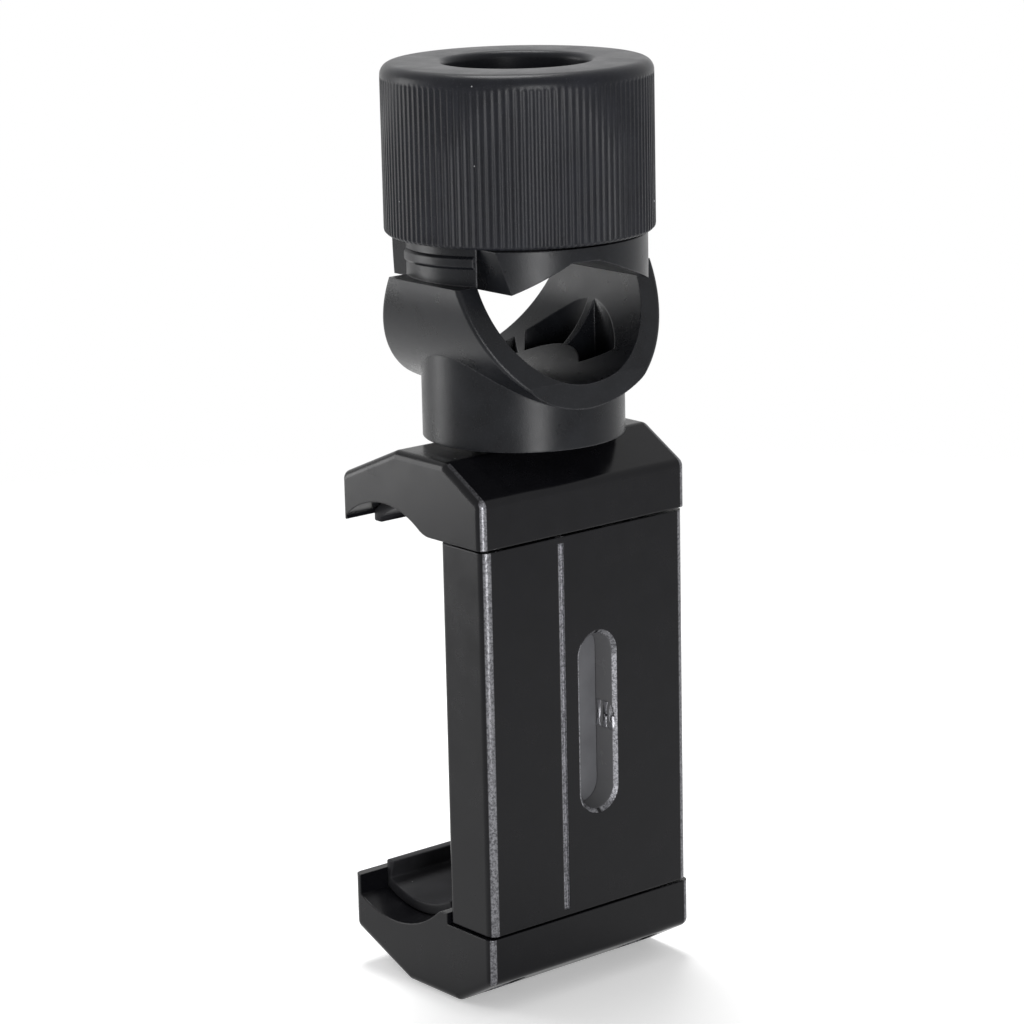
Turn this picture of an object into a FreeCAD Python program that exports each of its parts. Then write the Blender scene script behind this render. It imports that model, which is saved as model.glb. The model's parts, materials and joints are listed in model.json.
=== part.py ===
import FreeCAD, Part
import math
import os
import re

import Sketcher

# Clamp mount: a tube saddle with a ring nut above and a sprung device clamp below.
# Frame: origin on the tube's axis at the middle of the saddle, tube along Y, +Z up the knob.
# The device is held on the +Y side; the slotted face looks along -Y.

SIZES = [
    # Saddle, neck and arms of the yoke
    ("tube_radius", 12.7),
    ("saddle_wall", 3.1),
    ("saddle_rise", 0.2),
    ("saddle_mouth_half", 6.9),
    ("saddle_foot_half", 13.0),
    ("saddle_lean_drop", 12.0),
    ("saddle_edge_round", 0.5),
    ("neck_radius", 12.84),
    ("neck_drop", 20.67),
    ("arm_wall", 1.8),
    ("arm_rise", 19.7),
    # Weight-saving pockets in the saddle floor
    ("neck_wall", 1.24),
    ("boss_wall", 4.0),
    ("neck_floor", 2.4),
    ("side_pocket_angle", 45.0),
    ("side_rib_angle", 3.0),
    ("back_pocket_angle", 70.0),
    # Knob
    ("knob_wall", 2.2),
    ("knob_height", 21.06),
    ("knob_seat", 5.2),
    ("knob_hole_radius", 9.13),
    ("knob_top_wall", 2.9),
    ("knob_thread_length", 12.0),
    ("knob_relief", 0.9),
    ("knob_edge_round", 1.8),
    ("knob_hole_round", 0.9),
    ("knob_foot_round", 0.4),
    ("thread_gap", 0.3),
    # Pressing block under the knob
    ("block_lug", 1.2),
    ("block_side_gap", 0.3),
    ("block_top_gap", 0.35),
    ("block_side_taper", 1.3),
    ("block_left_drop", 0.46),
    ("block_right_drop", 1.1),
    ("block_flat_start", 4.6),
    ("block_flat_end", 0.9),
    ("block_flat_rise", 3.15),
    ("block_boss_height", 3.2),
    ("tongue_half_width", 4.5),
    ("tongue_wall", 1.8),
    ("tongue_gap", 0.9),
    ("hook_reach", 1.7),
    ("hook_height", 1.5),
    ("hook_gap", 0.3),
    # Swivel stud, blind in the saddle's boss, and its washer
    ("screw_radius", 3.1),
    ("screw_top_wall", 1.6),
    ("screw_reach", 8.0),
    ("screw_tip_gap", 0.8),
    ("screw_play", 0.02),
    ("thread_play", 0.05),
    ("neck_washer_radius", 6.5),
    ("neck_washer_thickness", 0.75),
    # Clamp body
    ("body_inset", 0.33),
    ("body_front", 11.68),
    ("body_back", 3.17),
    ("body_length", 49.77),
    ("body_front_round", 1.2),
    ("body_back_round", 0.8),
    # Slotted face: the groove and the slot stand either side of one centre, right of the middle
    ("face_centre", 1.6),
    ("groove_offset", 5.8),
    ("groove_width", 0.9),
    ("groove_depth", 0.45),
    ("groove_end_gap", 0.8),
    ("slot_width", 5.4),
    ("slot_length", 23.2),
    ("slot_middle", 25.2),
    ("slot_chamfer", 0.5),
    ("tap_radius", 3.175),
    ("tap_core_radius", 2.55),
    ("tap_pitch", 1.27),
    ("tap_lead", 0.08),
    # Sliding plate and its channel
    ("front_wall", 3.7),
    ("plate_thickness", 2.0),
    ("plate_half_width", 6.0),
    ("plate_end_gap", 1.27),
    ("plate_gap", 0.3),
    ("plate_grip", 5.0),
    ("pin_radius", 0.8),
    ("pin_spread", 3.5),
    ("pin_length", 3.4),
    ("pin_lead", 0.7),
    ("pin_play", 0.02),
    # Guide rods, springs and stops
    ("rod_edge", 5.3),
    ("rod_inset", 4.25),
    ("rod_radius", 1.25),
    ("rod_grip", 5.5),
    ("rod_end_gap", 1.77),
    ("rod_play", 0.02),
    ("rod_gap", 0.3),
    ("bore_radius", 3.0),
    ("bore_floor", 4.5),
    ("stop_radius", 2.6),
    ("stop_height", 1.6),
    ("guide_thickness", 2.0),
    ("guide_margin", 1.4),
    ("guide_gap", 0.05),
    ("spring_radius", 2.1),
    ("spring_wire_radius", 0.35),
    ("spring_turns", 14.0),
    ("spring_end_gap", 0.05),
    # Jaws, measured outward from the end of the clamp body
    ("jaw_half_width", 16.93),
    ("jaw_height", 10.36),
    ("jaw_front_height", 6.33),
    ("jaw_flat_front", 4.6),
    ("jaw_flat_back", 5.34),
    ("hook_tip", 16.4),
    ("hook_tip_height", 5.75),
    ("seam", 0.35),
    ("jaw_side_round", 1.0),
    ("jaw_corner_round", 1.25),
    # Arch of the upper jaw
    ("top_arch_middle", 7.6),
    ("top_arch_depth", 3.15),
    ("top_arch_radius", 12.3),
    ("top_hook_wall", 0.9),
    ("top_hook_overhang", 0.25),
    ("top_arch_blend", 4.0),
    # Arch of the lower jaw, with a lip against the body's device side
    ("low_arch_middle", 8.3),
    ("low_arch_depth", 2.85),
    ("low_arch_radius", 14.3),
    ("low_hook_wall", 1.3),
    ("low_hook_overhang", 1.5),
    ("low_lip_height", 1.1),
    ("low_lip_gap", 0.15),
    ("low_arch_blend", 1.2),
    # Rubber pads
    ("pad_inset", 4.4),
    ("pad_thickness", 1.5),
    ("pad_front", 0.9),
    ("pad_play", 0.02),
    ("back_pad_thickness", 1.2),
    ("back_pad_half_width", 13.0),
    ("back_pad_margin", 3.0),
    # Screws that hold the lower jaw
    ("jaw_screw_radius", 1.45),
    ("jaw_screw_head_radius", 2.7),
    ("jaw_screw_head_height", 1.6),
    ("jaw_screw_bite", 3.6),
    ("jaw_screw_sink", 4.4),
    ("jaw_screw_tip_gap", 0.3),
    ("jaw_screw_play", 0.05),
]

doc = FreeCAD.newDocument("ClampMount")
sheet = doc.addObject("Spreadsheet::Sheet", "Sizes")
for row, (alias, number) in enumerate(SIZES, start=1):
    sheet.set("A%d" % row, alias)
    sheet.set("B%d" % row, str(number))
    sheet.setAlias("B%d" % row, alias)
doc.recompute()

ALIASES = {alias for alias, number in SIZES}
nodes = {}


def sized(text):
    """Turn 'knob_radius - 2' into an expression that reads the sheet."""
    return re.sub(r"[a-z_]\w*", lambda m: "Sizes." + m[0] if m[0] in ALIASES else m[0], text)


def bind(item, **sizes):
    for name, text in sizes.items():
        item.setExpression(name, sized(text))
    return item


def place(item, x="0", y="0", z="0", axis=None, angle=0.0):
    """Put an object down at a bound place, turned by a fixed angle about an axis."""
    if axis:
        item.Placement = FreeCAD.Placement(FreeCAD.Vector(), FreeCAD.Rotation(FreeCAD.Vector(*axis), angle))
    for name, text in (("x", x), ("y", y), ("z", z)):
        item.setExpression("Placement.Base." + name, sized(text))
    return item


def box(name, x, y, z):
    """A block between two bound planes on each axis: every range is (low, high)."""
    item = doc.addObject("Part::Box", name)
    bind(item, Length="(%s) - (%s)" % (x[1], x[0]), Width="(%s) - (%s)" % (y[1], y[0]),
         Height="(%s) - (%s)" % (z[1], z[0]))
    return place(item, x[0], y[0], z[0])


def upright(name, radius, low, high, x="0", y="0"):
    """A cylinder along Z."""
    item = doc.addObject("Part::Cylinder", name)
    bind(item, Radius=radius, Height="(%s) - (%s)" % (high, low))
    return place(item, x, y, low)


def lying(name, radius, front, back, x="0", z="0"):
    """A cylinder along Y, from y = front to y = back."""
    item = doc.addObject("Part::Cylinder", name)
    bind(item, Radius=radius, Height="(%s) - (%s)" % (back, front))
    return place(item, x, front, z, axis=(1, 0, 0), angle=-90)


def cross(name, radius, half_length, y, z):
    """A cylinder along X, centred on x = 0."""
    item = doc.addObject("Part::Cylinder", name)
    bind(item, Radius=radius, Height="2 * (%s)" % half_length)
    return place(item, "-(%s)" % half_length, y, z, axis=(0, 1, 0), angle=90)


def fuse(name, *pieces):
    item = doc.addObject("Part::MultiFuse", name)
    item.Shapes = list(pieces)
    return item


def common(name, *pieces):
    item = doc.addObject("Part::MultiCommon", name)
    item.Shapes = list(pieces)
    return item


def cut(name, base, *tools):
    item = doc.addObject("Part::Cut", name)
    item.Base = base
    item.Tool = tools[0] if len(tools) == 1 else fuse(name + "_tools", *tools)
    return item


def rounded(name, base, radius, wanted):
    """Round the edges of base that the test picks out."""
    doc.recompute()
    numbers = [i for i, edge in enumerate(base.Shape.Edges, start=1) if wanted(edge)]
    size = value(radius)
    item = doc.addObject("Part::Fillet", name)
    item.Base = base
    item.Edges = [(i, size, size) for i in numbers]
    return item


def value(*aliases):
    """The sum of these sizes."""
    return sum(float(sheet.get(alias)) for alias in aliases)


def node(label, item):
    """Name a finished sub-part."""
    item.Label = label
    nodes[label] = item
    return item


def body(name):
    return doc.addObject("PartDesign::Body", name)


def outline(owner, name, role, corners):
    """A closed straight-sided sketch on one of the body's own planes, each corner bound to the sheet."""
    sketch = owner.newObject("Sketcher::SketchObject", name)
    sketch.AttachmentSupport = [(next(f for f in owner.Origin.OriginFeatures if f.Role == role), "")]
    sketch.MapMode = "FlatFace"
    count = len(corners)
    turn = 2 * math.pi / count
    start = [FreeCAD.Vector(10 * math.cos(turn * i), 10 * math.sin(turn * i), 0) for i in range(count)]
    for i in range(count):
        sketch.addGeometry(Part.LineSegment(start[i], start[(i + 1) % count]), False)
    for i in range(count):
        sketch.addConstraint(Sketcher.Constraint("Coincident", i, 2, (i + 1) % count, 1))
    for i, (across, up) in enumerate(corners):
        for kind, text, first in (("DistanceX", across, start[i].x), ("DistanceY", up, start[i].y)):
            index = sketch.addConstraint(Sketcher.Constraint(kind, -1, 1, i, 1, first))
            sketch.setExpression("Constraints[%d]" % index, sized(text))
    return sketch


def circle(owner, name, role, radius, across, up):
    """A round sketch whose centre and radius are bound to the sheet."""
    sketch = owner.newObject("Sketcher::SketchObject", name)
    sketch.AttachmentSupport = [(next(f for f in owner.Origin.OriginFeatures if f.Role == role), "")]
    sketch.MapMode = "FlatFace"
    sketch.addGeometry(Part.Circle(FreeCAD.Vector(1, 1, 0), FreeCAD.Vector(0, 0, 1), 5), False)
    for kind, text, first in (("DistanceX", across, 1), ("DistanceY", up, 1)):
        index = sketch.addConstraint(Sketcher.Constraint(kind, -1, 1, 0, 3, first))
        sketch.setExpression("Constraints[%d]" % index, sized(text))
    index = sketch.addConstraint(Sketcher.Constraint("Radius", 0, 5))
    sketch.setExpression("Constraints[%d]" % index, sized(radius))
    return sketch


def pad(owner, name, sketch, length, midplane=False):
    item = owner.newObject("PartDesign::Pad", name)
    item.Profile = sketch
    item.Midplane = midplane
    item.setExpression("Length", sized(length))
    return item


def pocket_through(owner, name, sketch):
    item = owner.newObject("PartDesign::Pocket", name)
    item.Profile = sketch
    item.Type = "ThroughAll"
    item.Midplane = True
    return item


def soften(owner, name, radius, wanted):
    """A body's fillet over the edges that the test picks out."""
    doc.recompute()
    base = owner.Tip
    numbers = ["Edge%d" % i for i, edge in enumerate(base.Shape.Edges, start=1) if wanted(edge)]
    item = owner.newObject("PartDesign::Fillet", name)
    item.Base = (base, numbers)
    item.setExpression("Radius", sized(radius))
    return item


# Places and sizes that several pieces share
SADDLE_RADIUS = "(tube_radius + saddle_wall)"
ARM_RADIUS = "(tube_radius + arm_wall)"
KNOB_BORE = "(tube_radius + arm_wall + thread_gap)"
KNOB_RADIUS = "(tube_radius + arm_wall + thread_gap + knob_wall)"
KNOB_TOP = "(knob_seat + knob_height)"
BLOCK_RADIUS = "(tube_radius + arm_wall + thread_gap + block_lug)"
THREAD_TOP = "(knob_seat + knob_thread_length)"
NECK_FOOT = "(-neck_drop)"
STUD_TOP = "(-tube_radius - screw_top_wall)"
JAW_TOP = "(-neck_drop - neck_washer_thickness)"
BODY_TOP = "(-neck_drop - neck_washer_thickness - jaw_height)"
BODY_FOOT = "(-neck_drop - neck_washer_thickness - jaw_height - body_length)"
BODY_HALF = "(jaw_half_width - body_inset)"
ROD_X = "(jaw_half_width - body_inset - rod_edge)"
ROD_Y = "(-body_front + rod_inset)"
ROD_REACH = "(body_length - bore_floor - rod_end_gap)"
PLATE_FRONT = "(-body_front + front_wall)"
PLATE_REACH = "(body_length - bore_floor - plate_end_gap)"
SIDES = (("left", "-"), ("right", ""))
QUARTER_TURN = 90
HALF_TURN = 180
TOUCH = 1e-3


def make_yoke():
    """One moulding: round neck, half-round saddle with leaning ends, and two threaded arms."""
    stock = fuse("YokeStock",
                 upright("NeckStock", "neck_radius", NECK_FOOT, "saddle_rise"),
                 lying("SaddleStock", SADDLE_RADIUS, "-saddle_foot_half", "saddle_foot_half"))
    lean = body("SaddleLean")
    profile = outline(lean, "LeanOutline", "YZ_Plane", [
        ("-saddle_foot_half", "-neck_drop"),
        ("saddle_foot_half", "-neck_drop"),
        ("saddle_foot_half", "-saddle_lean_drop"),
        ("saddle_mouth_half", "saddle_rise"),
        ("-saddle_mouth_half", "saddle_rise"),
        ("-saddle_foot_half", "-saddle_lean_drop")])
    pad(lean, "LeanPad", profile, "4 * " + SADDLE_RADIUS, midplane=True)
    saddle = common("LeanedStock", stock, lean)
    arms = upright("ArmStock", ARM_RADIUS, "0", "arm_rise")
    whole = fuse("SaddleAndArms", saddle, arms)
    tube = lying("TubeBore", "tube_radius", "-2 * saddle_foot_half", "2 * saddle_foot_half")
    gap = box("TubeGap", ("-tube_radius", "tube_radius"), ("-2 * " + ARM_RADIUS, "2 * " + ARM_RADIUS),
              ("0", "2 * arm_rise"))
    open_saddle = cut("OpenSaddle", whole, tube, gap)
    edged = rounded("SaddleEdges", open_saddle, "saddle_edge_round", saddle_end_edge)
    pockets = [pocket_sector("SidePocket%d" % i, start, "side_pocket_angle")
               for i, start in enumerate(side_pocket_starts())]
    back_start = QUARTER_TURN - value("back_pocket_angle") / 2
    pockets.append(pocket_sector("BackPocket", back_start, "back_pocket_angle"))
    stud_hole = upright("StudHole", "screw_radius + screw_play", "-2 * neck_drop", STUD_TOP)
    node("yoke", cut("Yoke", edged, stud_hole, *pockets))


def saddle_end_edge(edge):
    """Edges between the saddle's round outside and its leaning end faces."""
    middle = edge.valueAt((edge.FirstParameter + edge.LastParameter) / 2)
    off_round = abs(math.hypot(middle.x, middle.z) - value("tube_radius", "saddle_wall"))
    return off_round < TOUCH and edge.BoundBox.YLength > 1 and abs(middle.y) > value("saddle_mouth_half")


def side_pocket_starts():
    """Two pockets on each side of the neck, parted by a rib that points along X."""
    span = value("side_pocket_angle")
    rib = value("side_rib_angle")
    return [rib, -rib - span, HALF_TURN + rib, HALF_TURN - rib - span]


def pocket_sector(name, start, angle):
    """One pocket: a sector of a ring around the stud's boss, turned to its starting angle."""
    sector = doc.addObject("Part::Cylinder", name + "Sector")
    bind(sector, Radius="neck_radius - neck_wall", Height="neck_drop - neck_floor", Angle=angle)
    place(sector, z="-neck_drop + neck_floor", axis=(0, 0, 1), angle=start)
    return cut(name, sector, upright(name + "Boss", "screw_radius + boss_wall", NECK_FOOT, "0"))


def make_knob():
    """Ring nut: threaded below, relieved above, with a round hole through its top."""
    knob = body("Knob")
    ceiling = "(" + KNOB_TOP + " - knob_top_wall)"
    section = outline(knob, "KnobSection", "XZ_Plane", [
        (KNOB_BORE, "knob_seat"),
        (KNOB_RADIUS, "knob_seat"),
        (KNOB_RADIUS, KNOB_TOP),
        ("knob_hole_radius", KNOB_TOP),
        ("knob_hole_radius", ceiling),
        (KNOB_BORE + " + knob_relief", ceiling),
        (KNOB_BORE + " + knob_relief", THREAD_TOP),
        (KNOB_BORE, THREAD_TOP)])
    turned = knob.newObject("PartDesign::Revolution", "KnobTurned")
    turned.Profile = section
    turned.ReferenceAxis = (section, ["V_Axis"])
    turned.Angle = 360
    outside = value("tube_radius", "arm_wall", "thread_gap", "knob_wall")
    mouth = value("knob_hole_radius")
    seat = value("knob_seat")
    height = value("knob_seat", "knob_height")
    soften(knob, "KnobShoulder", "knob_edge_round", lambda e: on_circle(e, outside, height))
    soften(knob, "KnobMouth", "knob_hole_round", lambda e: on_circle(e, mouth, height))
    soften(knob, "KnobFoot", "knob_foot_round", lambda e: on_circle(e, outside, seat))
    node("knob", knob)


def on_circle(edge, radius, height):
    """True for a whole circle about Z of this radius at this height."""
    span = edge.BoundBox
    if edge.Curve.TypeId != "Part::GeomCircle" or span.ZLength > TOUCH:
        return False
    return abs(edge.Curve.Radius - radius) < TOUCH and abs(span.ZMin - height) < TOUCH


def make_press_block():
    """The jaw that the knob pushes down on the tube, with two tongues that hook on the knob."""
    side = "(tube_radius - block_side_gap)"
    tip = "(tube_radius - block_side_gap - block_side_taper)"
    top = "(knob_seat - block_top_gap)"
    boss_top = "(knob_seat - block_top_gap + block_boss_height)"
    vee = body("BlockVee")
    profile = outline(vee, "VeeOutline", "XZ_Plane", [
        ("-" + side, top),
        (side, top),
        (tip, "-block_right_drop"),
        ("-block_flat_end", "block_flat_rise"),
        ("-block_flat_start", "block_flat_rise"),
        ("-" + tip, "-block_left_drop")])
    pad(vee, "VeePad", profile, "3 * " + BLOCK_RADIUS, midplane=True)
    jaw = common("BlockJaw", vee, upright("BlockRound", BLOCK_RADIUS, "-" + BLOCK_RADIUS, BLOCK_RADIUS))
    reach = "(tube_radius + arm_wall - tongue_gap)"
    waist = box("BlockWaist", ("-" + side, side), ("-" + BLOCK_RADIUS, BLOCK_RADIUS), (top, boss_top))
    boss = common("BlockBoss", waist, upright("BossRound", reach, top, boss_top))
    hook_foot = "(" + THREAD_TOP + " + hook_gap)"
    hook_top = "(" + THREAD_TOP + " + hook_gap + hook_height)"
    stalk = upright("TongueRound", reach, top, hook_top)
    hook = upright("HookRound", reach + " + hook_reach", hook_foot, hook_top)
    hollow = upright("TongueHollow", reach + " - tongue_wall", boss_top, "2 * " + hook_top)
    ring = cut("TongueRing", fuse("TongueStock", stalk, hook), hollow)
    strip = box("TongueStrip", ("-tongue_half_width", "tongue_half_width"),
                ("-2 * " + BLOCK_RADIUS, "2 * " + BLOCK_RADIUS), (top, hook_top))
    tongues = common("Tongues", ring, strip)
    node("press_block", fuse("PressBlock", jaw, boss, tongues))


def make_swivel():
    """The stud that carries the clamp, fixed in the neck, and the washer below the neck."""
    node("mount_screw", upright("MountScrew", "screw_radius", JAW_TOP + " - screw_reach", STUD_TOP))
    disc = upright("WasherDisc", "neck_washer_radius", JAW_TOP, NECK_FOOT)
    hole = upright("WasherHole", "screw_radius + thread_play", JAW_TOP + " - 1", NECK_FOOT + " + 1")
    node("neck_washer", cut("NeckWasher", disc, hole))


def jaw_blank(name, which, lip):
    """A jaw with its arch, drawn with the clamp body's end at local z = 0 and the jaw rising from it."""
    jaw = body(name)
    middle = which + "_arch_middle"
    depth = which + "_arch_depth"
    radius = which + "_arch_radius"
    overhang = which + "_hook_overhang"
    wall = "(hook_tip - " + which + "_hook_wall)"
    profile = outline(jaw, name + "Outline", "YZ_Plane", [
        ("-body_front", "seam"),
        lip[0],
        lip[1],
        ("hook_tip", lip[1][1]),
        ("hook_tip", "hook_tip_height"),
        ("jaw_flat_back", "jaw_height"),
        ("-jaw_flat_front", "jaw_height"),
        ("-body_front", "jaw_front_height")])
    pad(jaw, name + "Pad", profile, "2 * jaw_half_width", midplane=True)
    arch = circle(jaw, name + "Arch", "YZ_Plane", radius, middle, depth + " - " + radius)
    pocket_through(jaw, name + "Recess", arch)
    hook = outline(jaw, name + "HookOutline", "YZ_Plane", [
        (wall, "hook_tip_height / 2"),
        (wall, "-" + overhang),
        ("hook_tip", "-" + overhang),
        ("hook_tip", "hook_tip_height / 2")])
    pad(jaw, name + "Hook", hook, "2 * jaw_half_width", midplane=True)
    soften(jaw, name + "Blend", which + "_arch_blend", lambda e: arch_start(e, which))
    soften(jaw, name + "Corners", "jaw_corner_round", jaw_ridge)
    soften(jaw, name + "Sides", "jaw_side_round", jaw_rim)
    return jaw


def arch_start(edge, which):
    """The long edge where the arch begins, beside the clamp body."""
    span = edge.BoundBox
    across = span.XLength > 1.9 * value("jaw_half_width") and span.ZMax < value("seam") + TOUCH
    return across and -value("body_back") + 1 < span.YMin < value(which + "_arch_middle") - value("body_back")


def jaw_ridge(edge):
    """Long ridges across the top and the tip of a jaw."""
    span = edge.BoundBox
    return span.XLength > 1.9 * value("jaw_half_width") and span.ZMin > 0.5 * value("hook_tip_height") + TOUCH


def jaw_rim(edge):
    """The rim of each side of a jaw, without its underside."""
    span = edge.BoundBox
    on_side = span.XLength < TOUCH and abs(abs(span.XMin) - value("jaw_half_width")) < TOUCH
    arch = edge.Curve.TypeId == "Part::GeomCircle" and edge.Curve.Radius > 2 * value("jaw_corner_round")
    return on_side and not arch and span.ZMax > 0.5 * value("hook_tip_height") + TOUCH


def make_top_jaw():
    """Upper jaw: tapped for the swivel stud, bored for the rods, slotted for the sliding plate."""
    blank = jaw_blank("TopJawBlank", "top", (("top_arch_middle - 0.5 * top_arch_radius", "seam"),
                                             ("top_arch_middle - 0.5 * top_arch_radius", "0")))
    place(blank, z=BODY_TOP)
    tap_floor = JAW_TOP + " - screw_reach - screw_tip_gap"
    tapped = upright("SwivelTap", "screw_radius + thread_play", tap_floor, "0")
    socket_top = BODY_TOP + " + seam + rod_grip"
    rods = [upright("RodSocket" + side, "rod_radius + rod_play", BODY_TOP + " - 1", socket_top,
                    x=sign + ROD_X, y=ROD_Y) for side, sign in SIDES]
    slot = box("PlateSlot", ("-plate_half_width - pin_play", "plate_half_width + pin_play"),
               (PLATE_FRONT + " - pin_play", PLATE_FRONT + " + plate_thickness + pin_play"),
               (BODY_TOP + " - 1", BODY_TOP + " + seam + plate_grip"))
    pins = [pin_cylinder("PinHole" + side, sign, "pin_radius + pin_play", "pin_play") for side, sign in SIDES]
    node("top_jaw", cut("TopJaw", blank, tapped, slot, *rods, *pins))


def pin_cylinder(name, sign, radius, more="0"):
    """A cross pin through the sliding plate, driven in from the device side."""
    front = "(%s - pin_lead - %s)" % (PLATE_FRONT, more)
    return lying(name, radius, front, front + " + pin_length + 2 * " + more, x=sign + "pin_spread",
                 z=BODY_TOP + " + seam + 0.5 * plate_grip")


def make_plate():
    """Flat plate that hangs from the upper jaw inside the body and shows through the slot."""
    plate = box("PlateStock", ("-plate_half_width", "plate_half_width"),
                (PLATE_FRONT, PLATE_FRONT + " + plate_thickness"),
                (BODY_TOP + " - " + PLATE_REACH, BODY_TOP + " + seam + plate_grip"))
    holes = [pin_cylinder("PlateHole" + side, sign, "pin_radius + pin_play", "1") for side, sign in SIDES]
    node("slider_plate", cut("SliderPlate", plate, *holes))
    pins = [pin_cylinder("Pin" + side, sign, "pin_radius") for side, sign in SIDES]
    node("plate_pins", fuse("PlatePins", *pins))


def make_clamp_body():
    """Thick plate with two spring bores, a channel for the sliding plate and the slotted face."""
    blank = body("BodyBlank")
    profile = outline(blank, "BodyOutline", "XY_Plane", [
        ("-" + BODY_HALF, "-body_front"),
        (BODY_HALF, "-body_front"),
        (BODY_HALF, "-body_back"),
        ("-" + BODY_HALF, "-body_back")])
    pad(blank, "BodyPad", profile, "body_length")
    soften(blank, "FrontEdges", "body_front_round", lambda e: upright_edge(e, -value("body_front")))
    soften(blank, "BackEdges", "body_back_round", lambda e: upright_edge(e, -value("body_back")))
    place(blank, z=BODY_FOOT)
    tools = [box("PlateChannel", ("-plate_half_width - plate_gap", "plate_half_width + plate_gap"),
                 (PLATE_FRONT + " - guide_gap", PLATE_FRONT + " + plate_thickness + plate_gap"),
                 (BODY_FOOT + " + bore_floor", BODY_TOP + " + 1")),
             guide_block("GuideSeat", "guide_gap", "1")]
    for side, sign in SIDES:
        spot = {"x": sign + ROD_X, "y": ROD_Y}
        tools.append(upright("SpringBore" + side, "bore_radius",
                             BODY_FOOT + " + bore_floor", BODY_TOP + " + 1", **spot))
        tools.append(upright("JawTap" + side, "jaw_screw_radius + jaw_screw_play", BODY_FOOT + " - 1",
                             BODY_FOOT + " + jaw_screw_bite + jaw_screw_tip_gap", **spot))
    tools += face_details()
    node("clamp_body", cut("ClampBody", blank, *tools))


def upright_edge(edge, y):
    """A long upright edge of the clamp body at this depth."""
    return edge.BoundBox.ZLength > 0.9 * value("body_length") and abs(edge.BoundBox.YMin - y) < TOUCH


def face_details():
    """The stadium slot with its bevelled rim, the tapped middle and the groove."""
    face = "(-body_front)"
    middle = "(" + BODY_TOP + " - slot_middle)"
    half = "(slot_length / 2 - slot_width / 2)"
    floor = PLATE_FRONT + " + slot_width / 50"
    details = []
    for end, sign in (("Top", "+"), ("Foot", "-")):
        centre = middle + " " + sign + " " + half
        details.append(lying("Slot" + end, "slot_width / 2", face + " - 1", floor, x="face_centre", z=centre))
        details.append(bevel_cone("SlotBevel" + end, centre))
    details.append(box("SlotRun", ("face_centre - slot_width / 2", "face_centre + slot_width / 2"),
                       (face + " - 1", floor), (middle + " - " + half, middle + " + " + half)))
    details.append(bevel_run(middle, half))
    details.append(tap_core(middle))
    groove = "(face_centre - groove_offset)"
    details.append(box("Groove", (groove + " - groove_width / 2", groove + " + groove_width / 2"),
                       (face + " - 1", face + " + groove_depth"),
                       (BODY_FOOT + " + groove_end_gap", BODY_TOP + " - groove_end_gap")))
    return details


def bevel_cone(name, centre):
    """Bevel round one end of the slot."""
    item = doc.addObject("Part::Cone", name)
    bind(item, Radius1="slot_width / 2 + 2 * slot_chamfer", Radius2="slot_width / 2",
         Height="2 * slot_chamfer")
    return place(item, "face_centre", "-body_front - slot_chamfer", centre, axis=(1, 0, 0), angle=-90)


def bevel_run(middle, half):
    """Bevel along the straight sides of the slot."""
    run = body("SlotBevelRun")
    profile = outline(run, "BevelOutline", "XY_Plane", [
        ("face_centre - slot_width / 2 - 2 * slot_chamfer", "-body_front - slot_chamfer"),
        ("face_centre + slot_width / 2 + 2 * slot_chamfer", "-body_front - slot_chamfer"),
        ("face_centre + slot_width / 2", "-body_front + slot_chamfer"),
        ("face_centre - slot_width / 2", "-body_front + slot_chamfer")])
    pad(run, "BevelPad", profile, "2 * " + half)
    return place(run, z=middle + " - " + half)


def tap_core(middle):
    """The thread cut into the slot's sides: a core of ridges turned about an axis along Y."""
    depth = value("front_wall") - value("guide_gap")
    pitch = value("tap_pitch")
    crest = value("tap_radius")
    root = value("tap_core_radius")
    lead = value("tap_lead")
    ridge = [FreeCAD.Vector(0, 0, -pitch), FreeCAD.Vector(root, 0, -pitch)]
    for i in range(int(depth / pitch) + 1):
        ridge.append(FreeCAD.Vector(crest, 0, (i - 0.5) * pitch + lead))
        ridge.append(FreeCAD.Vector(root, 0, i * pitch))
    ridge[-1] = FreeCAD.Vector(root, 0, depth)
    ridge.append(FreeCAD.Vector(0, 0, depth))
    ridge.append(ridge[0])
    turned = Part.Face(Part.makePolygon(ridge)).revolve(FreeCAD.Vector(), FreeCAD.Vector(0, 0, 1), 360)
    item = doc.addObject("Part::Feature", "TapCore")
    item.Shape = turned
    return place(item, "face_centre", "-body_front", middle, axis=(1, 0, 0), angle=-QUARTER_TURN)


def guide_block(name, gap, extra):
    """The block shape shared by the guide plate and its seat in the body's upper end."""
    half = "(" + ROD_X + " + bore_radius + guide_margin / 2 + " + gap + ")"
    return box(name, ("-" + half, half),
               (ROD_Y + " - bore_radius - " + gap, ROD_Y + " + bore_radius + " + gap),
               (BODY_TOP + " - guide_thickness", BODY_TOP + " + " + extra + " - spring_end_gap"))


def make_guide_plate():
    """Plastic plate that closes the body's upper end, guides the rods and backs the springs."""
    low = BODY_TOP + " - 2 * guide_thickness"
    high = BODY_TOP + " + 1"
    holes = [upright("GuideHole" + side, "rod_radius + rod_gap", low, high, x=sign + ROD_X, y=ROD_Y)
             for side, sign in SIDES]
    window = box("GuideWindow", ("-plate_half_width - plate_gap", "plate_half_width + plate_gap"),
                 (PLATE_FRONT + " - plate_gap", PLATE_FRONT + " + plate_thickness + plate_gap"), (low, high))
    node("guide_plate", cut("GuidePlate", guide_block("GuideStock", "0", "0"), window, *holes))


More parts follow.
